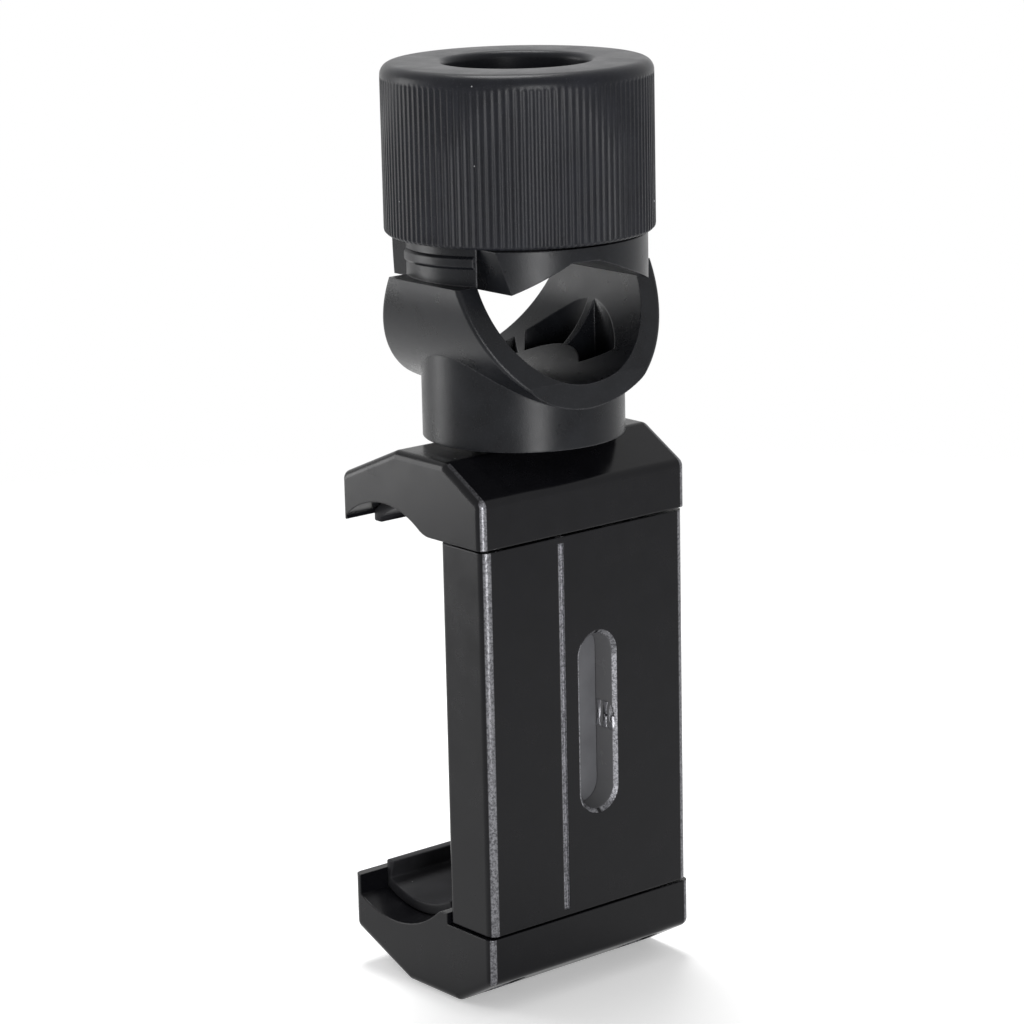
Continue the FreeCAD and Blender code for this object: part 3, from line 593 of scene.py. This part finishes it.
def band(tree, value, low, high, soft):
    """1 between low and high, fading over the soft width outside them."""
    rise = span_node(tree, value, low - soft, low)
    fall = span_node(tree, value, high + soft, high)
    return math_node(tree, "MULTIPLY", rise, fall)


def noise_node(tree, vector, scale, detail, rough):
    node = tree.nodes.new("ShaderNodeTexNoise")
    feed(tree, node.inputs["Vector"], vector)
    feed(tree, node.inputs["Scale"], scale)
    node.inputs["Detail"].default_value = detail
    node.inputs["Roughness"].default_value = rough
    return node.outputs["Fac"]


def cells_node(tree, vector, scale):
    node = tree.nodes.new("ShaderNodeTexVoronoi")
    feed(tree, node.inputs["Vector"], vector)
    feed(tree, node.inputs["Scale"], scale)
    return node.outputs


def mix_colour(tree, mask, base, over):
    """Blend two colours by a mask; base may be a socket."""
    node = tree.nodes.new("ShaderNodeMix")
    node.data_type = "RGBA"
    factor = node.inputs["Factor"]
    tree.links.new(mask, factor)
    first_colour, second_colour = node.inputs[6], node.inputs[7]
    feed(tree, first_colour, base)
    feed(tree, second_colour, over)
    return node.outputs[2]


# Shader groups

def new_group(name, inputs, outputs):
    """An empty shader group with these named sockets, as (kind, name, default)."""
    tree = bpy.data.node_groups.new(name, "ShaderNodeTree")
    for kind, label, default in inputs:
        socket = tree.interface.new_socket(name=label, in_out="INPUT", socket_type="NodeSocket" + kind)
        if default is not None:
            socket.default_value = default
    for kind, label in outputs:
        tree.interface.new_socket(name=label, in_out="OUTPUT", socket_type="NodeSocket" + kind)
    return tree, tree.nodes.new("NodeGroupInput").outputs, tree.nodes.new("NodeGroupOutput").inputs


def grain_group():
    """Moulded or blasted grain: a fine height, broad soft patches and lighter flecks."""
    tree, given, result = new_group(
        "Surface grain",
        [("Vector", "Vector", None), ("Float", "Scale", 6000.0)],
        [("Float", "Height"), ("Float", "Patches"), ("Float", "Fleck")])
    fine = noise_node(tree, given["Vector"], given["Scale"], 2.0, 0.7)
    patch_scale = math_node(tree, "MULTIPLY", given["Scale"], 0.03)
    broad = noise_node(tree, given["Vector"], patch_scale, 4.0, 0.6)
    pits = span_node(tree, cells_node(tree, given["Vector"], given["Scale"])["Distance"], 0.0, 0.7)
    tree.links.new(math_node(tree, "MULTIPLY", fine, pits), result["Height"])
    tree.links.new(span_node(tree, broad, 0.3, 0.7), result["Patches"])
    tree.links.new(span_node(tree, fine, 0.62, 0.8), result["Fleck"])
    return tree


def wear_and_sheen_group():
    """Rubbed edges and painted edge highlight: a mask where the surface bends sharply, broken up by grain.
    """
    tree, given, result = new_group(
        "Rubbed edges",
        [("Vector", "Vector", None), ("Float", "Width", 0.3 * MM), ("Float", "Break up", 4000.0)],
        [("Float", "Edge"), ("Vector", "Normal")])
    bevel = tree.nodes.new("ShaderNodeBevel")
    bevel.samples = 6
    tree.links.new(given["Width"], bevel.inputs["Radius"])
    shape = tree.nodes.new("ShaderNodeNewGeometry")
    dot = tree.nodes.new("ShaderNodeVectorMath")
    dot.operation = "DOT_PRODUCT"
    tree.links.new(bevel.outputs["Normal"], dot.inputs[0])
    tree.links.new(shape.outputs["Normal"], dot.inputs[1])
    bend = span_node(tree, dot.outputs["Value"], 0.992, 0.93)
    broken = span_node(tree, noise_node(tree, given["Vector"], given["Break up"], 2.0, 0.8), 0.4, 0.62)
    tree.links.new(math_node(tree, "MULTIPLY", bend, broken), result["Edge"])
    tree.links.new(bevel.outputs["Normal"], result["Normal"])
    return tree


def dust_group():
    """Sparse pale specks of dust."""
    tree, given, result = new_group(
        "Dust",
        [("Vector", "Vector", None), ("Float", "Scale", 700.0), ("Float", "Size", 0.05)],
        [("Float", "Specks")])
    cells = cells_node(tree, given["Vector"], given["Scale"])
    lucky = math_node(tree, "GREATER_THAN", cells["Color"], 0.72)
    near = math_node(tree, "LESS_THAN", cells["Distance"], given["Size"])
    tree.links.new(math_node(tree, "MULTIPLY", lucky, near), result["Specks"])
    return tree


SHADER_GROUPS = {}
MATERIALS = {}


def group_node(tree, make_group, vector):
    """A shader group in a material, made once and fed with the place on the piece."""
    name = make_group.__name__
    if name not in SHADER_GROUPS:
        SHADER_GROUPS[name] = make_group()
    node = tree.nodes.new("ShaderNodeGroup")
    node.node_tree = SHADER_GROUPS[name]
    tree.links.new(vector, node.inputs["Vector"])
    return node


# Materials

EDGE_WIDTH = 0.25 * MM
MASK_SOFT = 0.03 * MM
ROUGH_SPREAD = 0.05
# Where the painted highlight lies on the clamp's upright edges: how far the surface turns sideways and
# forward
CORNER_HIGHLIGHT_SIDEWAYS = (0.12, 0.75, 0.08)
CORNER_HIGHLIGHT_FORWARD = (0.4, 0.6)
CORNER_HIGHLIGHT_SHARE = 0.6
# Bare-metal look of the clamp's painted highlights: scale of the tool marks, least roughness and share of
# metal
CUT_GRIT = 3500.0
CUT_ROUGHNESS = 0.4
CUT_METAL = 0.6


def groove_highlight_mask(tree, sizes, x, y, z, soft):
    """Painted highlight in the groove down the clamp's face."""
    face = BODY_LOW[1]
    across = band(tree, x, sizes.groove_x - sizes.groove_half, sizes.groove_x + sizes.groove_half, soft)
    inwards = band(tree, y, face + 2 * soft, face + 1.5 * sizes.groove_depth, soft)
    along = band(tree, z, BODY_LOW[2], BODY_HIGH[2], soft)
    return math_node(tree, "MULTIPLY", across, inwards, along)


def slot_masks(tree, sizes, x, y, z, soft):
    """Painted highlight on the lit parts of the slot's bevel and rim, and the slot's walls, painted a
    lighter tone as if lit.
    """
    face = BODY_LOW[1]
    middle = BODY_HIGH[2] - sizes.slot_drop
    along = unsigned(tree, math_node(tree, "SUBTRACT", z, middle))
    past_end = math_node(tree, "MAXIMUM", math_node(tree, "SUBTRACT", along, sizes.slot_half_run), 0.0)
    across = math_node(tree, "SUBTRACT", x, sizes.slot_x)
    squares = math_node(tree, "ADD", math_node(tree, "MULTIPLY", past_end, past_end),
                        math_node(tree, "MULTIPLY", across, across))
    reach = math_node(tree, "POWER", squares, 0.5)
    rim_start = sizes.slot_half_width + sizes.slot_bevel
    inside = band(tree, reach, 0.0, rim_start + 2 * soft, soft)
    on_bevel = band(tree, y, face + 2 * soft, face + sizes.slot_bevel - soft, soft)
    right = span_node(tree, across, sizes.lit_right, sizes.lit_right_full)
    left = span_node(tree, across, sizes.lit_left, sizes.lit_left_full, 0.0, sizes.lit_left_share)
    run_top = middle + sizes.slot_half_run
    below_top = span_node(tree, z, run_top, run_top - sizes.lit_top)
    lit = math_node(tree, "MULTIPLY", math_node(tree, "MAXIMUM", right, left), below_top)
    # Painted highlight on the bevel's lit side and on the rim line
    bevel = math_node(tree, "MULTIPLY", inside, on_bevel, lit)
    on_rim = band(tree, reach, rim_start, rim_start + sizes.rim_line, soft)
    on_face = band(tree, y, face - soft, face + soft, soft)
    rim = math_node(tree, "MULTIPLY", on_rim, on_face, left)
    # The slot's walls, for a painted lighter tone
    on_wall = band(tree, y, face + sizes.slot_bevel, face + sizes.slot_depth, soft)
    wall = math_node(tree, "MULTIPLY", inside, on_wall)
    return math_node(tree, "MAXIMUM", bevel, rim), wall


def corner_highlight_mask(tree):
    """Painted highlight on the rounding of the clamp's two upright front edges, where it turns between side
    and front.
    """
    turned = tree.nodes.new("ShaderNodeSeparateXYZ")
    tree.links.new(tree.nodes.new("ShaderNodeTexCoord").outputs["Normal"], turned.inputs[0])
    sideways = band(tree, unsigned(tree, turned.outputs["X"]), *CORNER_HIGHLIGHT_SIDEWAYS)
    forward = span_node(tree, math_node(tree, "MULTIPLY", turned.outputs["Y"], -1.0), *CORNER_HIGHLIGHT_FORWARD)
    return math_node(tree, "MULTIPLY", sideways, forward, CORNER_HIGHLIGHT_SHARE)


def clamp_painted_light(tree, spot):
    """Masks of the clamp's painted light: a painted highlight with a bare-metal look on the groove, the
    slot's bevel and the upright corners, and the slot's walls, painted lighter.
    """
    sizes = bpy.context.scene.clamp_face
    parts = tree.nodes.new("ShaderNodeSeparateXYZ")
    tree.links.new(spot, parts.inputs[0])
    x, y, z = parts.outputs
    bevel, wall = slot_masks(tree, sizes, x, y, z, MASK_SOFT)
    groove = groove_highlight_mask(tree, sizes, x, y, z, MASK_SOFT)
    return math_node(tree, "MAXIMUM", groove, bevel, corner_highlight_mask(tree)), wall


def finish(name, tint, roughness, grain=6000.0, bump=0.03, edge=0.3, rubbed_and_sheen=None, dust=0.4, dust_size=0.05,
           metallic=0.0, specular=0.3, patch=0.25, fleck=0.3, painted_light_masks=None):
    """One procedural finish. The bump is in millimetres, colours are linear."""
    hues = bpy.context.scene.clamp_colours
    material = bpy.data.materials.new(name)
    material.use_nodes = True
    tree = material.node_tree
    shader = tree.nodes["Principled BSDF"].inputs
    spot = tree.nodes.new("ShaderNodeTexCoord").outputs["Object"]
    surface = group_node(tree, grain_group, spot)
    surface.inputs["Scale"].default_value = grain
    rub_and_sheen = group_node(tree, wear_and_sheen_group, spot)
    rub_and_sheen.inputs["Width"].default_value = EDGE_WIDTH
    rub_and_sheen.inputs["Break up"].default_value = grain
    specks = group_node(tree, dust_group, spot)
    specks.inputs["Size"].default_value = dust_size
    patches = surface.outputs["Patches"]
    tone = mix_colour(tree, patches, [c * (1 - patch) for c in tint], [c * (1 + patch) for c in tint])
    tone = mix_colour(tree, math_node(tree, "MULTIPLY", surface.outputs["Fleck"], fleck), tone, hues.fleck)
    # Rubbed edges, partly a painted edge highlight
    worn_and_sheen = math_node(tree, "MULTIPLY", rub_and_sheen.outputs["Edge"], edge)
    tone = mix_colour(tree, worn_and_sheen, tone, rubbed_and_sheen or hues.rubbed_and_sheen)
    rough = span_node(tree, patches, 0, 1, roughness - ROUGH_SPREAD, roughness + ROUGH_SPREAD)
    shader["Metallic"].default_value = metallic
    if painted_light_masks:
        # Painted highlight on the clamp's groove, slot bevel and corners, with a bare-metal look, and a
        # painted lighter tone on the slot's walls
        bare, wall = painted_light_masks(tree, spot)
        tone = mix_colour(tree, wall, tone, hues.slot_wall_painted_light)
        grit = span_node(tree, noise_node(tree, spot, CUT_GRIT, 2.0, 0.8), 0.38, 0.6, 0.2, 1.0)
        tone = mix_colour(tree, bare, tone, mix_colour(tree, grit, hues.tool_marks, hues.machined_and_highlight))
        rough = math_node(tree, "MAXIMUM", rough, math_node(tree, "MULTIPLY", bare, CUT_ROUGHNESS))
        tree.links.new(math_node(tree, "MULTIPLY", bare, CUT_METAL), shader["Metallic"])
    tone = mix_colour(tree, math_node(tree, "MULTIPLY", specks.outputs["Specks"], dust), tone, hues.dust)
    tree.links.new(tone, shader["Base Color"])
    tree.links.new(rough, shader["Roughness"])
    relief = tree.nodes.new("ShaderNodeBump")
    relief.inputs["Strength"].default_value = 1.0
    relief.inputs["Distance"].default_value = bump * MM
    tree.links.new(surface.outputs["Height"], relief.inputs["Height"])
    tree.links.new(rub_and_sheen.outputs["Normal"], relief.inputs["Normal"])
    tree.links.new(relief.outputs["Normal"], shader["Normal"])
    shader["Specular IOR Level"].default_value = specular
    MATERIALS[name] = material


def materials():
    """Every finish, made once."""
    if MATERIALS:
        return MATERIALS
    hues = bpy.context.scene.clamp_colours
    finish("moulded_black", hues.moulded, 0.30, grain=8500.0, bump=0.012, fleck=0.6, dust=0.0, specular=0.17)
    finish("knob_black", hues.knob, 0.34, grain=8500.0, bump=0.010, edge=0.15, dust=1.0, dust_size=0.06,
           fleck=0.8, specular=0.13)
    finish("clamp_black", hues.clamp, 0.24, grain=9000.0, bump=0.0, edge=0.0, patch=0.1, fleck=0.0,
           painted_light_masks=clamp_painted_light, specular=0.15, dust=0.0)
    finish("clamp_bright", hues.machined_and_highlight, 0.38, grain=7000.0, bump=0.02, edge=0.2, rubbed_and_sheen=hues.rubbed_and_sheen_bright,
           metallic=0.7)
    finish("plate_black", hues.plate, 0.34, grain=9000.0, bump=0.002, edge=0.1, patch=0.1, fleck=0.0)
    finish("black_steel", hues.black_steel, 0.38, metallic=0.8, bump=0.01)
    finish("bright_steel", hues.bright_steel, 0.30, metallic=1.0, bump=0.004, edge=0.2, dust=0.0, fleck=0.0)
    finish("spring_steel", hues.spring, 0.28, metallic=1.0, bump=0.004, edge=0.0, dust=0.0, fleck=0.0)
    finish("washer_black", hues.washer, 0.16, bump=0.0, edge=0.1, specular=0.8, fleck=0.0)
    finish("guide_plastic", hues.guide, 0.45, bump=0.02, edge=0.2)
    finish("pad_rubber", hues.rubber, 0.45, grain=8000.0, bump=0.004, edge=0.15, dust=0.6, specular=0.08,
           fleck=0.0)
    return MATERIALS


class ClampMountDress(bpy.types.Operator):
    """Finishes on the frame's own pieces"""

    bl_idname = "clamp_mount.dress"
    bl_label = "Finishes"

    def execute(self, context):
        made = materials()
        slots = {row["node"]: row["material_slot"] for row in frame["record"]["subparts"]}
        for name, node in frame["nodes"].items():
            for slot in node.material_slots:
                slot.material = made[slots[name]]
        return {"FINISHED"}


# Stage

FLOOR_DROP = 0.3 * MM
FLOOR_RADIUS = 340 * MM
FADE_FROM = 120 * MM
FADE_TO = 300 * MM
FLOOR_GLOW = 0.3
ROOM_LIGHT = 0.5
LAMP_AIM = Vector((0, 0, -35 * MM))
# Name, azimuth and elevation in degrees, distance and width by height in metres, power in watts
LAMPS = (
    ("Key", -25, -8, 0.55, (0.14, 0.46), 3.8),
    ("Left back", -146, 6, 0.60, (0.20, 0.40), 1.7),
    ("Top", 150, 72, 0.50, (0.18, 0.18), 1.8),
)


class ClampMountStage(bpy.types.Operator):
    """Plain pale floor, soft lights and the camera"""

    bl_idname = "clamp_mount.stage"
    bl_label = "Stage"

    def execute(self, context):
        add_camera(context.scene.clamp_view)
        add_floor()
        add_room()
        add_lamps()
        return {"FINISHED"}


def way_out(azimuth, elevation):
    """Unit vector from the mount outwards; azimuth 0 is the slotted face's side."""
    level = math.cos(elevation)
    return Vector((math.sin(azimuth) * level, -math.cos(azimuth) * level, math.sin(elevation)))


def add_camera(view):
    back = way_out(view.azimuth, view.elevation)
    right = Vector((math.cos(view.azimuth), math.sin(view.azimuth), 0.0))
    up = back.cross(right)
    place = back * view.distance - right * view.aside + Vector((0.0, 0.0, view.aim_height))
    lean_right = math.cos(view.roll) * right + math.sin(view.roll) * up
    lean_up = -math.sin(view.roll) * right + math.cos(view.roll) * up
    facing = Matrix((lean_right, lean_up, back)).transposed()
    bpy.ops.object.camera_add(location=place, rotation=facing.to_euler())
    camera = bpy.context.object
    camera.name = "Camera"
    camera.data.lens = view.focal
    camera.data.sensor_width = 36.0
    camera.data.clip_start = 0.01
    camera.data.clip_end = 20.0
    bpy.context.scene.camera = camera


def seen_rays(tree):
    """1 for the rays that see the backdrop itself: from the camera, and by mirror or glass."""
    path = tree.nodes.new("ShaderNodeLightPath").outputs
    return math_node(tree, "MAXIMUM", path["Is Camera Ray"], path["Is Glossy Ray"],
                     path["Is Transmission Ray"])


def add_floor():
    """A pale disc under the mount that fades into the white backdrop."""
    level = CAD_BOX[0][2] - FLOOR_DROP
    bpy.ops.mesh.primitive_circle_add(vertices=96, radius=FLOOR_RADIUS, fill_type="NGON",
                                      location=(0, 0, level))
    floor = bpy.context.object
    floor.name = "Floor"
    material = bpy.data.materials.new("Pale floor")
    material.use_nodes = True
    tree = material.node_tree
    shader = tree.nodes["Principled BSDF"].inputs
    shader["Base Color"].default_value = (*bpy.context.scene.clamp_colours.floor, 1.0)
    shader["Roughness"].default_value = 0.9
    shader["Specular IOR Level"].default_value = 0.0
    reach = length_node(tree, tree.nodes.new("ShaderNodeTexCoord").outputs["Object"])
    tree.links.new(span_node(tree, reach, FADE_FROM, FADE_TO, 1.0, 0.0), shader["Alpha"])
    shader["Emission Color"].default_value = WHITE
    tree.links.new(math_node(tree, "MULTIPLY", seen_rays(tree), FLOOR_GLOW), shader["Emission Strength"])
    floor.data.materials.append(material)


def add_room():
    """A white room, dimmer for what only lights the object."""
    world = bpy.data.worlds.new("Studio")
    world.use_nodes = True
    tree = world.node_tree
    plain = tree.nodes["Background"].inputs
    plain["Color"].default_value = WHITE
    tree.links.new(math_node(tree, "MAXIMUM", seen_rays(tree), ROOM_LIGHT), plain["Strength"])
    bpy.context.scene.world = world
    bpy.context.scene.view_settings.view_transform = "Standard"


def add_lamps():
    """Soft boxes round the mount, each turned to it."""
    for name, azimuth, elevation, distance, size, power in LAMPS:
        way = way_out(math.radians(azimuth), math.radians(elevation))
        bpy.ops.object.light_add(type="AREA", location=LAMP_AIM + distance * way)
        lamp = bpy.context.object
        lamp.name = name
        lamp.rotation_euler = way.to_track_quat("Z", "Y").to_euler()
        lamp.data.shape = "RECTANGLE"
        lamp.data.size = size[0]
        lamp.data.size_y = size[1]
        lamp.data.energy = power


# Panel and start

class ClampMountPanel(bpy.types.Panel):
    """Buttons for the mount's pieces"""

    bl_idname = "VIEW3D_PT_clamp_mount"
    bl_label = "Clamp Mount"
    bl_space_type = "VIEW_3D"
    bl_region_type = "UI"
    bl_category = "Clamp Mount"

    def draw(self, context):
        for step in STEPS:
            self.layout.operator("clamp_mount." + step)
        for group in PROPERTY_GROUPS:
            box = self.layout.box()
            owner = getattr(context.scene, group)
            for name in owner.bl_rna.properties.keys():
                if name not in ("rna_type", "name"):
                    box.prop(owner, name)


STEPS = ("stage", "dress", "knob", "threads", "pads")
PROPERTY_GROUPS = {
    "clamp_knob": ClampMountKnob,
    "clamp_thread": ClampMountThread,
    "clamp_pads": ClampMountPads,
    "clamp_face": ClampMountFace,
    "clamp_colours": ClampMountColours,
    "clamp_view": ClampMountView,
}
CLASSES = (ClampMountStage, ClampMountDress, ClampMountMakeKnob, ClampMountMakeThreads, ClampMountMakePads,
           ClampMountPanel)


def register():
    for name, group in PROPERTY_GROUPS.items():
        bpy.utils.register_class(group)
        setattr(bpy.types.Scene, name, bpy.props.PointerProperty(type=group))
    for cls in CLASSES:
        bpy.utils.register_class(cls)


def unregister():
    for cls in reversed(CLASSES):
        bpy.utils.unregister_class(cls)
    for name, group in PROPERTY_GROUPS.items():
        delattr(bpy.types.Scene, name)
        bpy.utils.unregister_class(group)


def main():
    register()
    bpy.ops.object.select_all(action="DESELECT")
    for step in STEPS:
        getattr(bpy.ops.clamp_mount, step)()


if __name__ == "__main__":
    main()
